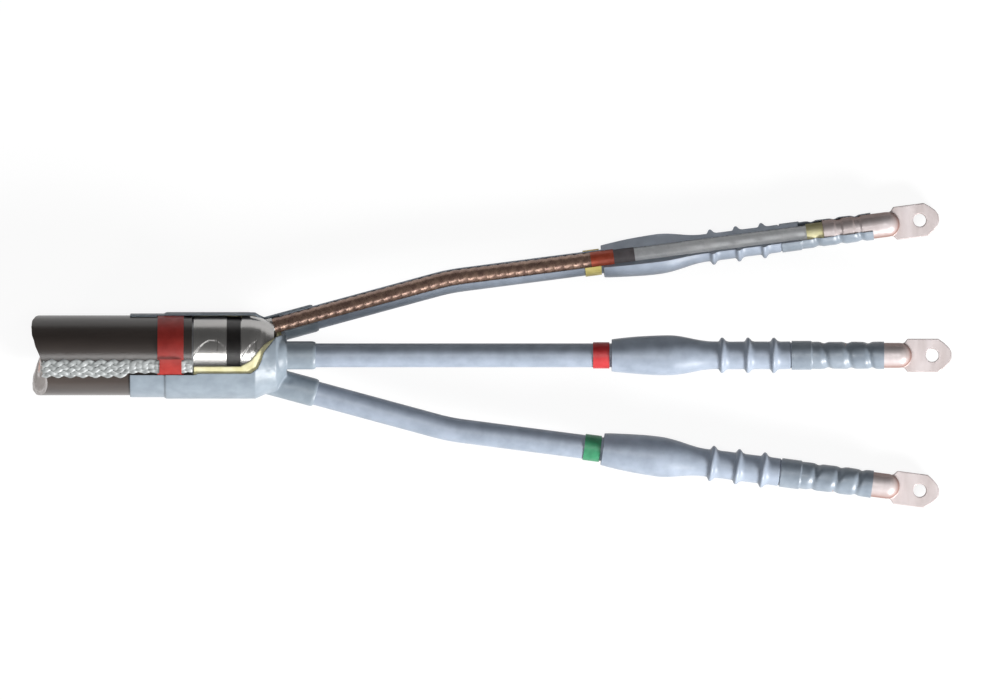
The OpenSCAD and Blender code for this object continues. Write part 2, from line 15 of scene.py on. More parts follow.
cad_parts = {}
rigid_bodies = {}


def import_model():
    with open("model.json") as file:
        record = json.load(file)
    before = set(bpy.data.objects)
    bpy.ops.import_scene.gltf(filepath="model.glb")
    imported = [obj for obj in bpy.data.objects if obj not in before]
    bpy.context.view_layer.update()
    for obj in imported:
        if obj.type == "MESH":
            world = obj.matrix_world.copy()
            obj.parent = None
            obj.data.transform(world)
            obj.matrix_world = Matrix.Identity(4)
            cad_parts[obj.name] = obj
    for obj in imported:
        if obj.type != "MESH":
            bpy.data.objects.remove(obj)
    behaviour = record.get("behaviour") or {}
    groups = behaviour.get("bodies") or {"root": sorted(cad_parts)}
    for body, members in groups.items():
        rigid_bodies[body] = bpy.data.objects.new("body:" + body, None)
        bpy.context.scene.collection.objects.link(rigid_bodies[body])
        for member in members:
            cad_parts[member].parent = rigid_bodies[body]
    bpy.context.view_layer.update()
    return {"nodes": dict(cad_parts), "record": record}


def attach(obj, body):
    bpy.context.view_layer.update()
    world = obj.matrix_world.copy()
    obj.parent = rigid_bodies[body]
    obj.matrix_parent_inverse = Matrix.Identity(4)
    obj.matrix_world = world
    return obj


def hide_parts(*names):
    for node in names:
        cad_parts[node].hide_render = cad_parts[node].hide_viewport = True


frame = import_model()
nodes = frame["nodes"]
print("CAD nodes:", len(nodes))

# %% [markdown]
# ## Sizes and places
# The pieces made here have to sit exactly where the CAD has them, so the sizes of the source are
# repeated once, in metres. Each core has a frame of its own at the bolt hole of its lug: X points away
# from the cable, and a place on the core is a distance back from the hole.

# %% Sizes shared with the CAD
MM = 0.001
X_MID = 451.65 * MM
AXIS_Z = 43.4 * MM
TAPE_R = 10.8 * MM
CORE_GAP = 0.6 * MM
TREFOIL_R = 2 * (TAPE_R + CORE_GAP) / math.sqrt(3)
OUTER_Y = TAPE_R + CORE_GAP
OUTER_Z = -TREFOIL_R / 2
BEND_X, SPREAD, BEND_R = 178.6 * MM, math.radians(15.45), 150 * MM
TURN_X, TIP_ANGLE, TURN_R = 409 * MM, math.radians(7.53), 200 * MM
OUTER_HOLE_X, MIDDLE_HOLE_X = 880.3 * MM, 892 * MM
TURN_Q = (TURN_X - BEND_X) * math.tan(SPREAD)
HOLE_Q = TURN_Q + (OUTER_HOLE_X - TURN_X) * math.tan(TIP_ANGLE)
SHED_R, SHED_U = 17.85 * MM, 158 * MM
ROLL = math.asin((AXIS_Z + OUTER_Z - SHED_R) / (HOLE_Q - SHED_U * math.sin(TIP_ANGLE)))

LAY = Matrix.Translation((-X_MID, 0, AXIS_Z))
OUTER = Matrix.Translation((0, OUTER_Y, OUTER_Z)) @ Matrix.Rotation(-ROLL, 4, "X")
MIRROR_Y = Matrix.Diagonal((1, -1, 1, 1))
CORE_FRAME = {
    "a": LAY @ OUTER,
    "b": LAY @ Matrix.Translation((0, 0, TREFOIL_R)),
    "c": LAY @ MIRROR_Y @ OUTER,
}
OUTER_TIP = Matrix.Translation((OUTER_HOLE_X, HOLE_Q, 0)) @ Matrix.Rotation(TIP_ANGLE, 4, "Z")
TIP_FRAME = {
    "a": CORE_FRAME["a"] @ OUTER_TIP,
    "b": CORE_FRAME["b"] @ Matrix.Translation((MIDDLE_HOLE_X, 0, 0)),
    "c": CORE_FRAME["c"] @ OUTER_TIP,
}
CUT_LOW, CUT_HIGH = math.radians(-23) - ROLL, math.radians(90) - ROLL
print("lean of the outer cores, degrees:", round(math.degrees(ROLL), 2))

# %% [markdown]
# ## Finishes
# Every finish starts from the same small recipe: one noise shifts the colour, one noise shifts the
# gloss, and one gives a bump, each at the scale that the real material shows. All of them read Object
# coordinates, which stay with the piece wherever the camera goes.

# %% The recipe for a finish
def colour(hex_code):
    """An sRGB hex colour as linear RGBA."""
    parts = [int(hex_code[i:i + 2], 16) / 255 for i in (0, 2, 4)]
    return [*[c / 12.92 if c <= 0.04045 else ((c + 0.055) / 1.055) ** 2.4 for c in parts], 1.0]


def add(tree, kind, inputs=None, **settings):
    """One shader node with its settings and its input values or links."""
    node = tree.nodes.new(kind)
    for key, value in settings.items():
        setattr(node, key, value)
    for key, value in (inputs or {}).items():
        if isinstance(value, bpy.types.NodeSocket):
            tree.links.new(value, node.inputs[key])
        else:
            node.inputs[key].default_value = value
    return node


def blank(name, **shader):
    """A new material with only its shader, whose constant values are set on its own sockets."""
    material = bpy.data.materials.new(name)
    material.use_nodes = True
    tree = material.node_tree
    bsdf = tree.nodes["Principled BSDF"]
    for key, value in shader.items():
        bsdf.inputs[key.replace("_", " ")].default_value = value
    place = add(tree, "ShaderNodeTexCoord").outputs["Object"]
    return material, tree, bsdf, place


def stretched(tree, place, scale):
    """Object coordinates squeezed or stretched along each axis."""
    return add(tree, "ShaderNodeMapping", {"Vector": place, "Scale": scale}).outputs["Vector"]


def noise(tree, place, scale, detail=4.0, rough=0.5):
    """The grey value of a noise."""
    return add(tree, "ShaderNodeTexNoise",
               {"Vector": place, "Scale": scale, "Detail": detail, "Roughness": rough}).outputs["Fac"]


def ramp(tree, fac, stops):
    """A colour ramp with (place, colour) stops."""
    node = add(tree, "ShaderNodeValToRGB", {"Fac": fac})
    elements = node.color_ramp.elements
    while len(elements) < len(stops):
        elements.new(0.5)
    for element, (position, value) in zip(elements, stops):
        element.position, element.color = position, value
    return node.outputs["Color"]


def span(tree, fac, low, high, start=0.3, end=0.7):
    """A noise value spread over a range."""
    return add(tree, "ShaderNodeMapRange", {"Value": fac, "From Min": start, "From Max": end,
                                            "To Min": low, "To Max": high}).outputs["Result"]


def bumped(tree, bsdf, height, distance, strength=1.0):
    """Tilts the surface by a height, in metres."""
    bump = add(tree, "ShaderNodeBump", {"Height": height, "Distance": distance, "Strength": strength})
    tree.links.new(bump.outputs["Normal"], bsdf.inputs["Normal"])


def mottled(name, dark, light, scale, gloss, grain, depth, stretch=(1, 1, 1), **shader):
    """A finish whose colour, gloss and surface vary a little all over."""
    material, tree, bsdf, place = blank(name, **shader)
    long = stretched(tree, place, stretch)
    tree.links.new(ramp(tree, noise(tree, long, scale), [(0.32, colour(dark)), (0.68, colour(light))]),
                   bsdf.inputs["Base Color"])
    tree.links.new(span(tree, noise(tree, long, scale * 2.3), *gloss), bsdf.inputs["Roughness"])
    bumped(tree, bsdf, noise(tree, long, grain, 6.0), depth)
    return material


finishes = {
    "sheath": mottled("sheath", "3a3330", "463e3a", 60, (0.4, 0.46), 500, 0.00002, (0.2, 1, 1),
                      Specular_IOR_Level=0.3, Coat_Weight=0.6, Coat_Roughness=0.24),
    "armour": mottled("armour", "8d8f92", "b4b6b8", 80, (0.3, 0.5), 1200, 0.00008, Metallic=0.3),
    "inner_sheath": mottled("inner_sheath", "2c2b2b", "3a3938", 80, (0.45, 0.6), 900, 0.0002),
    "cable_filler": mottled("cable_filler", "c8bfb4", "ddd5cc", 120, (0.7, 0.9), 700, 0.0003),
    "braid": mottled("braid", "868989", "bcc0c0", 300, (0.38, 0.5), 2500, 0.00005, (0.2, 1, 1),
                     Metallic=0.35),
    "red_tape": mottled("red_tape", "9c2822", "b2362f", 90, (0.38, 0.52), 900, 0.0001),
    "spring": mottled("spring", "a8a6a4", "bdbbb9", 30, (0.2, 0.27), 400, 0.00002, (0.3, 1, 1),
                      Metallic=0.75),
    "black_tape": mottled("black_tape", "1d1b1b", "2a2726", 90, (0.3, 0.4), 900, 0.0001),
    "bond_sleeve": mottled("bond_sleeve", "a8a6a4", "bdbbb9", 30, (0.2, 0.27), 400, 0.00002,
                           Metallic=0.75),
    "yellow_mastic": mottled("yellow_mastic", "d6cf9c", "e9e3bd", 80, (0.5, 0.7), 500, 0.0003),
    "shrink_rubber": mottled("shrink_rubber", "8d97a5", "9ea8b7", 70, (0.34, 0.46), 800, 0.00008,
                             Specular_IOR_Level=0.4),
    "boot_rubber": mottled("boot_rubber", "7f8a94", "8f9aa4", 70, (0.36, 0.48), 800, 0.00008),
    "seal_rubber": mottled("seal_rubber", "78828d", "8a949f", 70, (0.3, 0.4), 800, 0.00008),
    "copper": mottled("copper", "9c6148", "b87a5e", 120, (0.3, 0.45), 900, 0.0001, Metallic=0.8),
    "insulation": mottled("insulation", "d3d6d9", "e4e6e8", 60, (0.22, 0.34), 700, 0.00004),
    "semicon": mottled("semicon", "655f62", "767073", 120, (0.5, 0.65), 900, 0.0001),
    "copper_tape": mottled("copper_tape", "8a6d62", "b0917f", 160, (0.24, 0.32), 1500, 0.00001,
                           Metallic=0.45),
    "orange_band": mottled("orange_band", "b5492f", "c95d42", 120, (0.35, 0.5), 900, 0.0001,
                           Metallic=0.2),
    "ring_yellow": mottled("ring_yellow", "cdbd68", "ded083", 100, (0.35, 0.5), 800, 0.0001),
    "ring_red": mottled("ring_red", "ac2529", "c0373a", 100, (0.35, 0.5), 800, 0.0001),
    "ring_green": mottled("ring_green", "2f7a56", "3f8f67", 100, (0.35, 0.5), 800, 0.0001),
    "lug_metal": mottled("lug_metal", "bdb1af", "d6cccc", 70, (0.3, 0.45), 700, 0.00006, (1, 0.25, 1),
                         Metallic=0.2),
}
print("finishes:", len(finishes))

# %% [markdown]
# ### Colours that depend on the side of a face
# Some finishes change with the direction that a face looks, read in the coordinates of the piece. The sawn
# end of the cable, which looks back along X, is pale all over. The lugs get painted light: faces that look
# up keep a pale colour as a painted reflection of the bright space above, and faces toward the sides are
# painted darker copper as painted shade. The mastic gets painted shade, a darker olive, on the faces that
# look along
# Y, toward the open phase and away from the main light.

# %% Pale sawn end, painted light on the lugs, painted shade on the mastic
MIX_FACTOR, MIX_A, MIX_B, MIX_RESULT = 0, 6, 7, 2


def by_side(slot, axis, start, end, amount, hex_code):
    """Blends a colour in on the faces that look one way, between two values of the normal on an axis."""
    tree = finishes[slot].node_tree
    base = tree.nodes["Principled BSDF"].inputs["Base Color"]
    normal = add(tree, "ShaderNodeTexCoord").outputs["Normal"]
    toward = add(tree, "ShaderNodeSeparateXYZ", {0: normal}).outputs[axis]
    share = span(tree, toward, amount, 0.0, start, end)
    blend = add(tree, "ShaderNodeMix", data_type="RGBA")
    tree.links.new(share, blend.inputs[MIX_FACTOR])
    tree.links.new(base.links[0].from_socket, blend.inputs[MIX_A])
    blend.inputs[MIX_B].default_value = colour(hex_code)
    tree.links.new(blend.outputs[MIX_RESULT], base)


SAWN = ("sheath", "armour", "inner_sheath", "cable_filler", "insulation", "semicon", "copper_tape")
for slot in SAWN:
    by_side(slot, "X", -0.85, -0.6, 0.92, "efe6e2")
# Painted light on the lugs: faces that look up stay pale as a painted reflection, and the sides are painted
# darker copper as painted shade.
by_side("lug_metal", "Z", 0.3, 0.92, 0.9, "7d4b39")
# Painted shade: mastic faces that look along +Y, away from the main light, are painted a darker olive.
by_side("yellow_mastic", "Y", 0.8, 0.3, 0.8, "8f8a5e")
print("finishes with a sawn end:", len(SAWN))

# %% [markdown]
# ## CAD nodes that stay
# A node whose shape is already right keeps its mesh and only gets its finish, by the material slot that
# the record names for it.

# %% Give every CAD node its finish
slot_of = {part["node"]: part["material_slot"] for part in frame["record"]["subparts"]}
for name, node in nodes.items():
    node.data.materials.clear()
    node.data.materials.append(finishes[slot_of[name]])
print("dressed nodes:", len(slot_of))

# %% [markdown]
# ## Pieces turned around a core
# The bodies, tubes, rings and springs are closed outlines turned around their core. An outline is a loop
# of (radius, place along the core) points. It is first walked in short steps, so that the surface can
# swell and dip between the corners. The angle is measured from straight up toward +Y, as in the CAD, and
# the open phase stops at the two cut faces, which are filled with the outline itself.

# %% Turning an outline
TURN = 2 * math.pi


def dense(loop, step):
    """The outline walked in short steps, corners kept."""
    out = []
    for (r0, x0), (r1, x1) in zip(loop, loop[1:] + loop[:1]):
        count = max(1, round(math.hypot(r1 - r0, x1 - x0) / step))
        out += [(r0 + (r1 - r0) * i / count, x0 + (x1 - x0) * i / count) for i in range(count)]
    return out


def finished(name, verts, faces, replaced, sharp=40, finish=None):
    """A piece from points and faces: doubles merged, normals outward, riding on the part."""
    mesh = bpy.data.meshes.new(name)
    mesh.from_pydata(verts, [], faces)
    work = bmesh.new()
    work.from_mesh(mesh)
    bmesh.ops.remove_doubles(work, verts=work.verts, dist=1e-7)
    bmesh.ops.recalc_face_normals(work, faces=work.faces)
    work.to_mesh(mesh)
    work.free()
    return dressed(name, mesh, replaced, sharp, finish)


def dressed(name, mesh, replaced, sharp=40, finish=None):
    """An object in the place of the node that it replaces, with its own finish or that of the slot."""
    mesh.shade_smooth()
    mesh.set_sharp_from_angle(angle=math.radians(sharp))
    slot = slot_of[replaced]
    mesh.materials.clear()
    mesh.materials.append(finishes[finish or slot])
    piece = bpy.data.objects.new(name, mesh)
    bpy.context.scene.collection.objects.link(piece)
    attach(piece, "root")
    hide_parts(replaced)
    return piece


def turned(loop, place, cut=False, around=96, warp=None):
    """Points and faces of an outline turned around X, all the way or from cut face to cut face."""
    start, stop = (CUT_HIGH, CUT_LOW + TURN) if cut else (0.0, TURN)
    steps = max(8, round(around * (stop - start) / TURN))
    rows = steps + 1 if cut else steps
    verts = []
    for i in range(rows):
        t = start + (stop - start) * i / steps
        for r, x in loop:
            r += warp(r, x, t) if warp else 0.0
            verts.append(place @ Vector((x, r * math.sin(t), r * math.cos(t))))
    n = len(loop)
    faces = [(i * n + j, i * n + (j + 1) % n, (i + 1) % rows * n + (j + 1) % n, (i + 1) % rows * n + j)
             for i in range(steps) for j in range(n)]
    if cut:
        faces += [tuple(range(n)), tuple(range((rows - 1) * n, rows * n))]
    return verts, faces

# %% [markdown]
# ### Termination bodies
# A body swells from its open end to the bulb, falls to the neck and carries three soft ridges, the sheds.
# A shed rises steeply at the back and runs out slowly toward the lug. The neck ends in a mouth that the
# sealing tube grips.

# %% Termination bodies
SHED_GAP = 25.8 * MM
SHEDS = [SHED_U + SHED_GAP * i for i in (2, 1, 0)]
# Millimetres from the middle of a shed, and the share of its height there.
RIDGE = [(-4.7, 0.0), (-3.7, 0.1), (-2.9, 0.38), (-2.2, 0.71), (-1.4, 0.93), (-0.5, 1.0),
         (0.4, 0.96), (1.3, 0.8), (2.2, 0.53), (3.1, 0.28), (4.4, 0.1), (6.4, 0.0)]
BODY_R, BULB_R, NECK_R, MOUTH_R = 16.35 * MM, 20 * MM, 13.85 * MM, 12.9 * MM
BODY_U, BULB_U, NECK_U, SEAL_U, BODY_END_U = (v * MM for v in (320.5, 264, 217, 142.5, 122))
BAND_U, SEMICON_U = 309 * MM, 288 * MM
INSULATION_R, SEMICON_R, FIT = 9.65 * MM, 10.1 * MM, 0.05 * MM
LIP, SWELL = 0.9 * MM, 0.12 * MM
RISE_STEPS, FALL_STEPS = 14, 16


def body_loop():
    """The closed outline of a termination body."""
    loop = [(BODY_R - LIP, -BODY_U), (BODY_R - 0.3 * LIP, -BODY_U + 0.3 * LIP)]
    for i in range(1, RISE_STEPS + 1):
        t = i / RISE_STEPS
        loop.append((BODY_R + (BULB_R - BODY_R) * math.sin(0.5 * math.pi * t),
                     -BODY_U + LIP * (1 - t) + (BODY_U - BULB_U) * t))
    for i in range(1, FALL_STEPS + 1):
        t = i / FALL_STEPS
        loop.append((BULB_R + (NECK_R - BULB_R) * (1 - math.cos(math.pi * t)) / 2,
                     -BULB_U + (BULB_U - NECK_U) * t))
    for u in SHEDS:
        loop += [(NECK_R + (SHED_R - NECK_R) * h, -u + d * MM) for d, h in RIDGE]
    return loop + [(NECK_R, -SEAL_U), (MOUTH_R, -SEAL_U + MM), (MOUTH_R, -BODY_END_U),
                   (INSULATION_R + FIT, -BODY_END_U), (INSULATION_R + FIT, -SEMICON_U),
                   (SEMICON_R + FIT, -SEMICON_U), (SEMICON_R + FIT, -BAND_U),
                   (TAPE_R + FIT, -BAND_U), (TAPE_R + FIT, -BODY_U)]


def hand_laid(r, x, t):
    """Small swells that rubber keeps from being shrunk on by hand."""
    if r <= MOUTH_R:
        return 0.0
    return SWELL * math.sin(3 * t + 95 * x) * math.sin(61 * x + 1.3)


for phase in "abc":
    body = turned(dense(body_loop(), 1.5 * MM), TIP_FRAME[phase], phase == "a", 96, hand_laid)
    finished(f"body_{phase}", *body, f"termination_body_{phase}")
print("sheds per body:", len(SHEDS))

# %% [markdown]
# ### Sealing tubes
# The sealing tube covers the mouth of the body and the barrel of the lug. It is thin, so it follows what
# lies under it: it steps down after the mouth, dips over the mastic and shows the crimps of the barrel as
# dents that run a little askew.

# %% Sealing tubes
SEAL_STEP_R, SEAL_R, SEAL_WALL = 14.5 * MM, 13.6 * MM, 1.05 * MM
SEAL_FAR_U, SEAL_NEAR_U = 140.5 * MM, 48.2 * MM
STEP_FAR_U, STEP_NEAR_U, STEP_IN_U, DENTS_U = (v * MM for v in (121.2, 120, 121.8, 121))
SKEW, RIPPLE = 2.4 * MM, 0.15 * MM
# Place on the core, depth and width of each dent, in millimetres.
DIPS = [(106, 2.2, 6.4), (83, 2.1, 6.4), (62, 2.0, 5.6)]


def seal_loop():
    """The closed outline of a sealing tube before its dents."""
    outer = [(SEAL_STEP_R, -SEAL_FAR_U), (SEAL_STEP_R, -STEP_FAR_U), (SEAL_R, -STEP_NEAR_U),
             (SEAL_R, -SEAL_NEAR_U)]
    return outer + [(SEAL_R - SEAL_WALL, -SEAL_NEAR_U), (SEAL_R - SEAL_WALL, -STEP_IN_U),
                    (MOUTH_R + FIT, -STEP_IN_U), (MOUTH_R + FIT, -SEAL_FAR_U)]


def dented(r, x, t):
    """How far the tube dips at each dent, with the edges of the dents askew."""
    if x < -DENTS_U:
        return 0.0
    skew = SKEW * math.sin(t + 0.5)
    dip = sum(depth * MM * math.exp(-((x + u * MM + skew) / (0.5 * width * MM)) ** 2)
              for u, depth, width in DIPS)
    return -dip * (0.8 + 0.2 * math.cos(2 * t + 1.2)) + RIPPLE * math.sin(4 * t + 210 * x)


for phase in "abc":
    seal = turned(dense(seal_loop(), 0.8 * MM), TIP_FRAME[phase], phase == "a", 96, dented)
    finished(f"seal_{phase}", *seal, f"lug_sealing_tube_{phase}", finish="seal_rubber")
print("dents per sealing tube:", len(DIPS))

# %% [markdown]
# ## Pieces that follow a core
# An outer core leaves the boot straight, turns back once and runs straight to its lug. The path gives a
# point and a direction for each distance back from the bolt hole, and a ring of points is carried along it.

# %% The path of a core
TURN_ANGLE = SPREAD - TIP_ANGLE
TURN_T, BEND_T = TURN_R * math.tan(TURN_ANGLE / 2), BEND_R * math.tan(SPREAD / 2)
TIP_LEN = (OUTER_HOLE_X - TURN_X) / math.cos(TIP_ANGLE) - TURN_T
TURN_LEN = TURN_R * TURN_ANGLE
LEG_LEN = (TURN_X - BEND_X) / math.cos(SPREAD) - TURN_T - BEND_T
LEG_END = TIP_LEN + TURN_LEN + LEG_LEN
BEND_LEN = BEND_R * SPREAD
CORE_MAX, HALVINGS = 0.9, 40


def ahead(angle):
    """The direction of a core that runs at an angle to the cable."""
    return Vector((math.cos(angle), math.sin(angle), 0))


def aside(angle):
    """The direction across such a core, in the plane of the fan."""
    return Vector((-math.sin(angle), math.cos(angle), 0))


def core_point(phase, u):
    """Point and direction of a core, a distance back from its bolt hole, in the frame of the core."""
    if phase == "b":
        return Vector((MIDDLE_HOLE_X - u, 0, 0)), 0.0
    turn = min(max(u - TIP_LEN, 0), TURN_LEN) / TURN_R
    bend = min(max(u - LEG_END, 0), BEND_LEN) / BEND_R
    point = Vector((OUTER_HOLE_X, HOLE_Q, 0)) - min(u, TIP_LEN) * ahead(TIP_ANGLE)
    point += TURN_R * (aside(TIP_ANGLE + turn) - aside(TIP_ANGLE))
    point -= min(max(u - TIP_LEN - TURN_LEN, 0), LEG_LEN) * ahead(SPREAD)
    point -= BEND_R * (aside(SPREAD - bend) - aside(SPREAD))
    point -= max(u - LEG_END - BEND_LEN, 0) * ahead(0)
    return point, TIP_ANGLE + turn - bend


def back_to(phase, x):
    """The distance back from the bolt hole at which a core passes a place along the cable."""
    low, high = 0.0, CORE_MAX
    for _ in range(HALVINGS):
        mid = (low + high) / 2
        low, high = (mid, high) if core_point(phase, mid)[0].x > x else (low, mid)
    return low


def swept(phase, far, near, r_out, r_in, cut=False, around=72, step=3 * MM, lap=None):
    """Points and faces of a tube along a core, with an outside that can change along and around it."""
    start, stop = (CUT_HIGH, CUT_LOW + TURN) if cut else (0.0, TURN)
    arcs = around if not cut else round(around * (stop - start) / TURN)
    angles = [start + (stop - start) * i / arcs for i in range(arcs + (1 if cut else 0))]
    ring = [(True, t) for t in angles] + [(False, t) for t in reversed(angles)]
    rows = round((far - near) / step) + 1
    verts = []
    for i in range(rows):
        u = far + (near - far) * i / (rows - 1)
        point, angle = core_point(phase, u)
        for outside, t in ring:
            r = (r_out - (lap(u, t) if lap else 0.0)) if outside else r_in
            spot = point + r * math.sin(t) * aside(angle) + Vector((0, 0, r * math.cos(t)))
            verts.append(CORE_FRAME[phase] @ spot)
    n, half = len(ring), len(angles)
    if cut:
        pairs = [(j, (j + 1) % n) for j in range(n)]
    else:
        pairs = [(j, (j + 1) % half) for j in range(half)]
        pairs += [(half + j, half + (j + 1) % half) for j in range(half)]
    faces = [(i * n + a, i * n + b, (i + 1) * n + b, (i + 1) * n + a)
             for i in range(rows - 1) for a, b in pairs]
    for row in (0, rows - 1):
        for j in range(half - 1 if cut else half):
            a, b = j, (j + 1) % half
            faces.append((row * n + a, row * n + b, row * n + n - 1 - b, row * n + n - 1 - a))
    return verts, faces


# %% [markdown]
# ### Insulating tubes and the copper tape
# The insulating tubes are plain. The copper tape of the open phase is wound in one long screw line, so each
# turn shows as a slightly crowned band with a groove on either side. The first stretch of the tape is moved
# so that it ends where the CAD has the cable broken off.

# %% Insulating tubes and the copper tape
TUBE_R, TUBE_END_U, TUBE_X = 11.95 * MM, 320.55 * MM, 242.25 * MM
PITCH, GROOVE, TAPE_END_U = 9.7 * MM, 0.6 * MM, 332.05 * MM
BREAK_NEAR, BREAK_FAR, WINDOW = MM, 25 * MM, 0.17

for phase in "abc":
    tube = swept(phase, back_to(phase, TUBE_X), TUBE_END_U, TUBE_R, TAPE_R + FIT, phase == "a")
    finished(f"tube_{phase}", *tube, f"insulating_tube_{phase}")


def lapped(u, t):
    """Depth of the screw line: nothing along the middle of a turn, a groove at its edges."""
    place = (u / PITCH + t / TURN) % 1.0
    return GROOVE * (2 * place - 1) ** 2


def broken_off(points, phase, replaced):
    """Points of a layer whose first stretch is moved to end where the CAD layer breaks off."""
    to_core = CORE_FRAME[phase].inverted()
    source = nodes[replaced]
    spots = [to_core @ source.matrix_world @ vertex.co for vertex in source.data.vertices]
    ends = [(math.atan2(spot.y, spot.z), spot.x) for spot in spots if spot.x < BREAK_FAR]

    def moved(point):
        spot = to_core @ point
        if spot.x > BREAK_FAR:
            return point
        t = math.atan2(spot.y, spot.z)
        end = min(x for angle, x in ends if abs((angle - t + math.pi) % TURN - math.pi) < WINDOW)
        spot.x = end + (spot.x - BREAK_NEAR) * (BREAK_FAR - end) / (BREAK_FAR - BREAK_NEAR)
        return CORE_FRAME[phase] @ spot
    return [moved(point) for point in points]


points, faces = swept("a", back_to("a", BREAK_NEAR), TAPE_END_U, TAPE_R, SEMICON_R + FIT,
                      around=60, step=MM, lap=lapped)
finished("copper_tape", broken_off(points, "a", "copper_tape_a"), faces, "copper_tape_a")
print("points on the copper tape:", len(points))

# %% [markdown]
# ## Soft pieces
# The boot and the filler are rubber, and the lugs are pressed from tube, so none of them has a sharp edge.
# Each is a copy of its CAD mesh, cut into even cells and smoothed, and then thinned to a lighter mesh.

# %% Softening a copy of a CAD node
def softened(name, replaced, cell, rounds, keep, sharp=60, finish=None):
    """A remeshed and smoothed copy of a CAD node."""
    source = nodes[replaced]
    mesh = source.data.copy()
    mesh.transform(source.matrix_world)
    work = bmesh.new()
    work.from_mesh(mesh)
    bmesh.ops.remove_doubles(work, verts=work.verts, dist=1e-6)
    work.to_mesh(mesh)
    work.free()
    holder = bpy.data.objects.new(name + "_holder", mesh)
    bpy.context.scene.collection.objects.link(holder)
    even = holder.modifiers.new("even cells", "REMESH")
    even.mode, even.voxel_size = "VOXEL", cell
    soft = holder.modifiers.new("soft", "SMOOTH")
    soft.factor, soft.iterations = 0.5, rounds
    light = holder.modifiers.new("light", "DECIMATE")
    light.ratio = keep
    ready = holder.evaluated_get(bpy.context.evaluated_depsgraph_get())
    result = bpy.data.meshes.new_from_object(ready)
    bpy.data.objects.remove(holder)
    result.name = name
    piece = dressed(name, result, replaced, sharp, finish)
    print(name, "faces:", len(result.polygons))
    return piece


# %% [markdown]
# ### A crease between two fingers
# The crown of the boot dips along a line between the middle finger and the near one. The line is given as
# seen from above, and the dip fades out on both sides of it.

# %% Pressing a crease
CREASE = [Vector((x * MM, y * MM)) for x, y in ((-226, -3), (-222, -13), (-214, -20.5), (-203, -25))]
CREASE_HALF, CREASE_DEPTH = 3.6 * MM, 1.1 * MM
UPWARD = 0.1


def closest(spot, a, b):
    """The point of a straight stretch nearest to a spot."""
    share = (spot - a).dot(b - a) / (b - a).length_squared
    return a + (b - a) * min(max(share, 0.0), 1.0)


def creased(mesh, line, half, depth):
    """Presses a soft crease into the upper side of a mesh, along a line seen from above."""
    upper = [i for i, normal in enumerate(mesh.vertex_normals) if normal.vector.z > UPWARD]
    for vertex in (mesh.vertices[i] for i in upper):
        spot = vertex.co.xy
        near = min((spot - closest(spot, a, b)).length for a, b in zip(line, line[1:]))
        vertex.co.z -= depth * math.exp(-(near / half) ** 2)


# %% The boot, its filler and the lugs
boot = softened("boot", "breakout_boot", cell=0.55 * MM, rounds=14, keep=0.17, finish="boot_rubber")
creased(boot.data, CREASE, CREASE_HALF, CREASE_DEPTH)
softened("filler", "crotch_filler", cell=0.8 * MM, rounds=5, keep=0.25)
for phase in "abc":
    softened(f"lug_{phase}_soft", f"lug_{phase}", cell=0.45 * MM, rounds=6, keep=0.29)

# %% [markdown]
# ## The earth braid
# The braid is a flat plait: every strand zigzags from edge to edge, each a little behind the last, and
# rides over and under the ones that it meets. A Geometry Nodes tree lays the strands out flat, turns them
# into flattened wires and then bends the plait around the sheath, down over its end and in under the
# spring.

# %% The tree that plaits
STRAND_POINTS, WIRE_SIDES, FLATNESS, STEEPNESS = 300, 8, 0.2, 3.0
NARROWING, DROP = 6 * MM, 1.7 * MM


def calc(tree, operation, first, second=0.0):
    """One Math node."""
    return add(tree, "ShaderNodeMath", {0: first, 1: second}, operation=operation).outputs[0]


def eased(tree, value, start, end, low, high):
    """A smooth change from one value to another between two places."""
    ends = {"Value": value, "From Min": start, "From Max": end, "To Min": low, "To Max": high}
    return add(tree, "ShaderNodeMapRange", ends, interpolation_type="SMOOTHSTEP").outputs["Result"]


def position(tree):
    """The X, Y and Z of the points that a tree works on."""
    return add(tree, "ShaderNodeSeparateXYZ", {0: add(tree, "GeometryNodeInputPosition").outputs[0]}).outputs


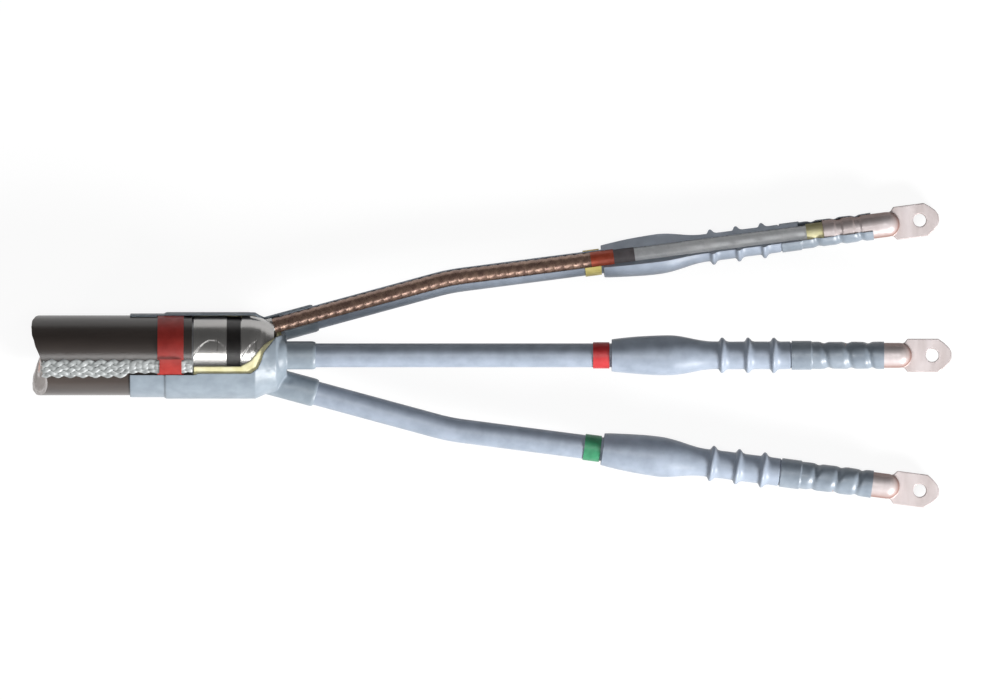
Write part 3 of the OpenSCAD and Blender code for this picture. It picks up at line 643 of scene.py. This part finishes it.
def plait_tree():
    """Flat strands, made into wires and bent around the cable."""
    tree = bpy.data.node_groups.new("plait", "GeometryNodeTree")
    sockets = {"Geometry": "Geometry", "Strands": "Int", "Start": "Float", "End": "Float", "Pitch": "Float",
               "Wire": "Float", "Rise": "Float", "Sheath radius": "Float", "Armour radius": "Float",
               "Sheath end": "Float", "Boot": "Float", "Upper edge": "Float", "Spread edge": "Float",
               "Lower edge": "Float", "Finish": "Material"}
    for label, kind in sockets.items():
        tree.interface.new_socket(label, in_out="INPUT", socket_type="NodeSocket" + kind)
    tree.interface.new_socket("Geometry", in_out="OUTPUT", socket_type="NodeSocketGeometry")
    given = add(tree, "NodeGroupInput").outputs

    line = add(tree, "GeometryNodeMeshLine", {"Count": given["Strands"], "Offset": (0, 0, 0)})
    index = add(tree, "GeometryNodeInputIndex").outputs[0]
    named = add(tree, "GeometryNodeStoreNamedAttribute",
                {"Geometry": line.outputs[0], "Name": "strand", "Value": index}, data_type="FLOAT")
    first = add(tree, "ShaderNodeCombineXYZ", {"X": given["Start"]}).outputs[0]
    last = add(tree, "ShaderNodeCombineXYZ", {"X": given["End"]}).outputs[0]
    strand = add(tree, "GeometryNodeCurvePrimitiveLine", {"Start": first, "End": last}).outputs[0]
    strand = add(tree, "GeometryNodeResampleCurve", {"Curve": strand, "Count": STRAND_POINTS}).outputs[0]
    many = add(tree, "GeometryNodeInstanceOnPoints",
               {"Points": named.outputs[0], "Instance": strand}).outputs[0]
    many = add(tree, "GeometryNodeRealizeInstances", {"Geometry": many}).outputs[0]

    along = position(tree)[0]
    number = add(tree, "GeometryNodeInputNamedAttribute", {"Name": "strand"},
                 data_type="FLOAT").outputs[0]
    beat = calc(tree, "ADD", calc(tree, "DIVIDE", along, given["Pitch"]),
                calc(tree, "DIVIDE", number, given["Strands"]))
    across = calc(tree, "MULTIPLY", calc(tree, "PINGPONG", beat, 0.5), 2.0)
    turn = calc(tree, "MULTIPLY", beat, TURN)
    weave = calc(tree, "COSINE", calc(tree, "MULTIPLY", turn, given["Strands"]))
    steep = calc(tree, "MULTIPLY", calc(tree, "SINE", turn), STEEPNESS)
    side = add(tree, "ShaderNodeClamp", {"Value": steep, "Min": -1.0})
    height = calc(tree, "MULTIPLY", calc(tree, "MULTIPLY", side.outputs[0], weave), given["Rise"])
    before = calc(tree, "SUBTRACT", given["Boot"], NARROWING)
    low = eased(tree, along, before, given["Boot"], given["Spread edge"], given["Lower edge"])
    angle = calc(tree, "ADD", given["Upper edge"],
                 calc(tree, "MULTIPLY", across, calc(tree, "SUBTRACT", low, given["Upper edge"])))
    sideways = calc(tree, "MULTIPLY", angle, given["Sheath radius"])
    flat = add(tree, "ShaderNodeCombineXYZ", {"X": along, "Y": sideways, "Z": height}).outputs[0]
    many = add(tree, "GeometryNodeSetPosition", {"Geometry": many, "Position": flat}).outputs[0]
    many = add(tree, "GeometryNodeSetCurveNormal", {"Curve": many}, mode="Z_UP").outputs[0]

    wire = add(tree, "GeometryNodeCurvePrimitiveCircle",
               {"Resolution": WIRE_SIDES, "Radius": given["Wire"]}).outputs[0]
    wire = add(tree, "GeometryNodeTransform", {"Geometry": wire, "Scale": (1.0, FLATNESS, 1.0)}).outputs[0]
    solid = add(tree, "GeometryNodeCurveToMesh",
                {"Curve": many, "Profile Curve": wire, "Fill Caps": True}).outputs[0]

    x, y, z = position(tree)
    drop = calc(tree, "ADD", given["Sheath end"], DROP)
    base = eased(tree, x, given["Sheath end"], drop, given["Sheath radius"], given["Armour radius"])
    radius = calc(tree, "ADD", base, z)
    bend = calc(tree, "DIVIDE", y, given["Sheath radius"])
    around = calc(tree, "MULTIPLY", radius, calc(tree, "SINE", bend))
    up = calc(tree, "MULTIPLY", radius, calc(tree, "COSINE", bend))
    bent = add(tree, "ShaderNodeCombineXYZ", {"X": x, "Y": around, "Z": up}).outputs[0]
    solid = add(tree, "GeometryNodeSetPosition", {"Geometry": solid, "Position": bent}).outputs[0]
    solid = add(tree, "GeometryNodeSetMaterial",
                {"Geometry": solid, "Material": given["Finish"]}).outputs[0]
    end = add(tree, "NodeGroupOutput")
    tree.links.new(solid, end.inputs[0])
    return tree


# %% Plait the braid
def grown(name, tree, values):
    """The mesh that a tree makes from named values."""
    holder = bpy.data.objects.new(name + "_holder", bpy.data.meshes.new(name + "_holder"))
    bpy.context.scene.collection.objects.link(holder)
    grow = holder.modifiers.new("grow", "NODES")
    grow.node_group = tree
    for item in tree.interface.items_tree:
        if item.name in values:
            grow[item.identifier] = values[item.name]
    ready = holder.evaluated_get(bpy.context.evaluated_depsgraph_get())
    mesh = bpy.data.meshes.new_from_object(ready)
    bpy.data.objects.remove(holder)
    mesh.transform(LAY)
    return mesh


plait = grown("braid", plait_tree(), {
    "Strands": 5, "Start": 3 * MM, "End": 180 * MM, "Pitch": 62 * MM, "Wire": 2.45 * MM,
    "Rise": 0.46 * MM, "Sheath radius": 40.9 * MM, "Armour radius": 37.25 * MM,
    "Sheath end": 152.5 * MM, "Boot": 90 * MM, "Upper edge": math.radians(-8.6),
    "Spread edge": math.radians(-30.5), "Lower edge": math.radians(-23.4), "Finish": finishes["braid"]})
dressed("braid", plait, "earth_braid")
print("braid faces:", len(plait.polygons))

# %% [markdown]
# ## The rolled springs
# A spring of thin steel is rolled around the armour, and a second one around the bond sleeve. The last
# turn of each ends in a rounded tongue: below a curved edge the steel lies a little lower, and a short nick
# crosses that edge.

# %% Springs with their tongues
SPRING_R, SPRING_IN, SPRING_AROUND = 39.3 * MM, 38.15 * MM, 280
SPRING_FROM, SPRING_TO = 154 * MM, 187 * MM
TONGUE, BOW = 0.6 * MM, 45
NICK_HALF, NICK_LOW, NICK_HIGH, NICK_SHARE = 0.4 * MM, -9 * MM, 3 * MM, 0.7
# Radius and place along the cable, in millimetres, of the spring that tapers with the sleeve under it.
SLEEVE_SPRING = [(39.3, 202), (39.3, 211), (38.7, 215.5), (37.5, 221), (35.4, 226), (30.9, 234.2),
                 (30.05, 234.2), (36.5, 222), (38.1, 214.6), (38.1, 202)]


def tongue(middle, top, nick):
    """How far the spring lies back below the edge of its tongue and in the nick across that edge."""
    def back(r, x, t):
        if r < SPRING_R - MM:
            return 0.0
        side = r * math.sin(t)
        edge = top - BOW * (x - middle) ** 2
        below = side < edge and math.cos(t) > -0.5
        in_nick = abs(x - nick) < NICK_HALF and NICK_LOW < side - edge < NICK_HIGH and math.cos(t) > 0
        return -TONGUE * ((1 if below else 0) + (NICK_SHARE if in_nick else 0))
    return back


spring_loop = dense([(SPRING_R, SPRING_FROM), (SPRING_R, SPRING_TO), (SPRING_IN, SPRING_TO),
                     (SPRING_IN, SPRING_FROM)], 0.5 * MM)
spring = turned(spring_loop, LAY, False, SPRING_AROUND, tongue(172.5 * MM, 15.3 * MM, 177.4 * MM))
finished("spring_on_armour", *spring, "armour_spring")

sleeve_loop = dense([(r * MM, x * MM) for r, x in SLEEVE_SPRING], 0.5 * MM)
spring = turned(sleeve_loop, LAY, False, SPRING_AROUND, tongue(222 * MM, 15.8 * MM, 215.6 * MM))
finished("spring_on_sleeve", *spring, "screen_spring")
print("points along the outlines of the springs:", len(spring_loop), len(sleeve_loop))

# %% [markdown]
# ## Floor, light and camera
# The picture is taken straight from above, with a long lens, on white. The main light comes from the near
# side and from the lugs' end, so that every tube is pale along its lower edge and dark along its upper
# edge. Weaker lamps above give the soft highlights, and one lights the sawn end of the cable. The floor
# glows for the camera and for reflections, which keeps it white, and still takes the shadow.

# %% Floor
FLOOR_SIZE, FLOOR_GAP = 6.0, 0.5 * MM
GLOW, LIT, BOUNCE = 0.9, 0.14, 0.3


def floor_piece():
    """A large plain floor just under the part."""
    mesh = bpy.data.meshes.new("floor")
    half = FLOOR_SIZE / 2
    corners = [(-half, -half, 0), (half, -half, 0), (half, half, 0), (-half, half, 0)]
    mesh.from_pydata(corners, [], [(0, 1, 2, 3)])
    floor = bpy.data.objects.new("floor", mesh)
    floor.location.z = -FLOOR_GAP
    bpy.context.scene.collection.objects.link(floor)
    material, tree, bsdf, _ = blank("floor", Roughness=0.9)
    bsdf.inputs["Base Color"].default_value = (BOUNCE, BOUNCE, BOUNCE, 1)
    rays = add(tree, "ShaderNodeLightPath").outputs
    seen = calc(tree, "MAXIMUM", rays["Is Camera Ray"], rays["Is Glossy Ray"])
    seen = calc(tree, "MAXIMUM", seen, rays["Is Transmission Ray"])
    glow = add(tree, "ShaderNodeEmission", {"Color": (1, 1, 1, 1), "Strength": GLOW})
    lit = add(tree, "ShaderNodeBsdfDiffuse", {"Color": (LIT, LIT, LIT, 1)})
    white = add(tree, "ShaderNodeAddShader", {0: glow.outputs[0], 1: lit.outputs[0]})
    both = add(tree, "ShaderNodeMixShader", {0: seen, 1: bsdf.outputs[0], 2: white.outputs[0]})
    tree.links.new(both.outputs[0], tree.nodes["Material Output"].inputs["Surface"])
    mesh.materials.append(material)


floor_piece()
print("floor size:", FLOOR_SIZE)

# %% Light
# Place, target, width and height, and power of each lamp.
LAMPS = {
    "key": ((2.3, -2.7, 1.35), (0, 0, 0.02), (2.0, 0.8), 268),
    "overhead": ((0.1, -0.12, 2.6), (0, 0, 0), (1.5, 0.6), 12),
    "over_sheath": ((-0.42, -0.14, 2.6), (-0.42, 0, 0), (0.5, 0.45), 8),
    "cable_end": ((-2.4, -1.6, 0.9), (-0.4, 0, 0.03), (0.9, 0.6), 12),
}
ROOM_LIGHT = 0.08


def lamp(name, place, target, size, power):
    """A soft lamp of a given width and height that points at a target."""
    light = bpy.data.lights.new(name, "AREA")
    light.shape, light.energy = "RECTANGLE", power
    light.size, light.size_y = size
    lamp_object = bpy.data.objects.new(name, light)
    lamp_object.location = place
    aim = Vector(target) - Vector(place)
    lamp_object.rotation_euler = aim.to_track_quat("-Z", "Y").to_euler()
    bpy.context.scene.collection.objects.link(lamp_object)


for name, settings in LAMPS.items():
    lamp(name, *settings)
world = bpy.data.worlds.new("room")
world.use_nodes = True
backdrop = world.node_tree.nodes["Background"].inputs
backdrop["Color"].default_value = (1, 1, 1, 1)
backdrop["Strength"].default_value = ROOM_LIGHT
bpy.context.scene.world = world
print("lamps:", len(LAMPS))

# %% Camera
camera = bpy.data.objects.new("camera", bpy.data.cameras.new("camera"))
FRAME_W, LENS, SENSOR = 1.0, 900.0, 36.0
VIEW_X, VIEW_Y = 8.35 * MM, 5.3 * MM
camera.data.lens, camera.data.sensor_width = LENS, SENSOR
camera.location = (VIEW_X, VIEW_Y, AXIS_Z + FRAME_W * LENS / SENSOR)
bpy.context.scene.collection.objects.link(camera)
bpy.context.scene.camera = camera
bpy.context.scene.view_settings.view_transform = "Standard"
print("camera height:", round(camera.location.z, 3))
